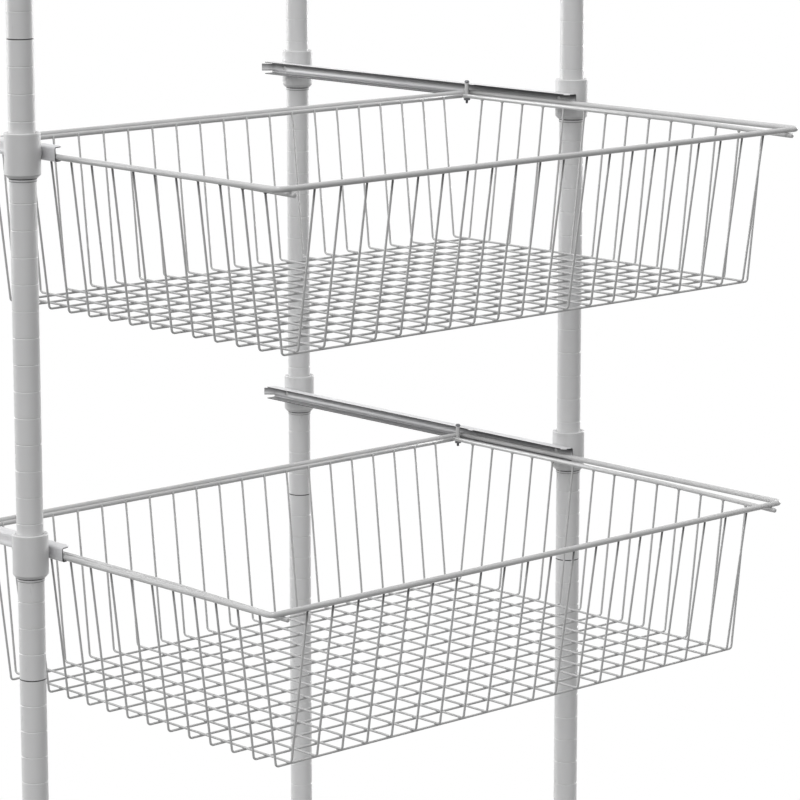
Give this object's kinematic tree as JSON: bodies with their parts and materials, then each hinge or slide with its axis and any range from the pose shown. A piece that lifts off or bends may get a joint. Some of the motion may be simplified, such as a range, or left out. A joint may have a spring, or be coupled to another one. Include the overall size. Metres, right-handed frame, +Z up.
{
  "type": "wall mounted closet system with sliding wire baskets",
  "caption": "Freestanding grooved-post closet frame tied to a wall, with shallow wire baskets that slide out on side channel rails.",
  "frame": {"origin": "on the floor, at the middle of the whole part with both baskets pulled out as pictured", "axes": "+Z up, +X to the right seen from the front, -Y to the front, the way the baskets pull out; +Y to the wall"},
  "size_m": [0.7584, 0.8268, 1.8448],
  "materials": {
    "post_enamel": "satin white enamel",
    "basket_coat": "satin white coat",
    "moulding": "satin",
    "rail": "zinc plated",
    "screw_steel": "dark plated",
    "foot": "matt"
  },
  "bodies": {
    "frame": {"front_left_post_bottom": "post_enamel", "front_left_post_middle": "post_enamel", "front_left_post_top": "post_enamel", "front_left_foot": "foot", "front_left_cap": "moulding", "front_right_post_bottom": "post_enamel", "front_right_post_middle": "post_enamel", "front_right_post_top": "post_enamel", "front_right_foot": "foot", "front_right_cap": "moulding", "rear_left_post_bottom": "post_enamel", "rear_left_post_middle": "post_enamel", "rear_left_post_top": "post_enamel", "rear_left_foot": "foot", "rear_left_cap": "moulding", "rear_right_post_bottom": "post_enamel", "rear_right_post_middle": "post_enamel", "rear_right_post_top": "post_enamel", "rear_right_foot": "foot", "rear_right_cap": "moulding", "lower_left_rail": "rail", "lower_front_left_collar": "moulding", "lower_front_left_sleeve": "moulding", "lower_rear_left_collar": "moulding", "lower_rear_left_sleeve": "moulding", "lower_right_rail": "rail", "lower_front_right_collar": "moulding", "lower_front_right_sleeve": "moulding", "lower_rear_right_collar": "moulding", "lower_rear_right_sleeve": "moulding", "upper_left_rail": "rail", "upper_front_left_collar": "moulding", "upper_front_left_sleeve": "moulding", "upper_rear_left_collar": "moulding", "upper_rear_left_sleeve": "moulding", "upper_right_rail": "rail", "upper_front_right_collar": "moulding", "upper_front_right_sleeve": "moulding", "upper_rear_right_collar": "moulding", "upper_rear_right_sleeve": "moulding", "left_wall_bracket": "moulding", "right_wall_bracket": "moulding"},
    "lower_basket": {"lower_basket_frame_rod": "basket_coat", "lower_basket_cross_wires": "basket_coat", "lower_basket_long_wires": "basket_coat", "lower_left_stop_screw": "screw_steel", "lower_left_stop_nut": "screw_steel", "lower_right_stop_screw": "screw_steel", "lower_right_stop_nut": "screw_steel"},
    "upper_basket": {"upper_basket_frame_rod": "basket_coat", "upper_basket_cross_wires": "basket_coat", "upper_basket_long_wires": "basket_coat", "upper_left_stop_screw": "screw_steel", "upper_left_stop_nut": "screw_steel", "upper_right_stop_screw": "screw_steel", "upper_right_stop_nut": "screw_steel"}
  },
  "joints": [
    {"name": "lower_basket_slide", "type": "slide", "parent": "frame", "child": "lower_basket", "axis": [0, 1, 0], "range_m": [-0.0123, 0.3236]},
    {"name": "upper_basket_slide", "type": "slide", "parent": "frame", "child": "upper_basket", "axis": [0, 1, 0], "range_m": [0, 0.3359]}
  ]
}
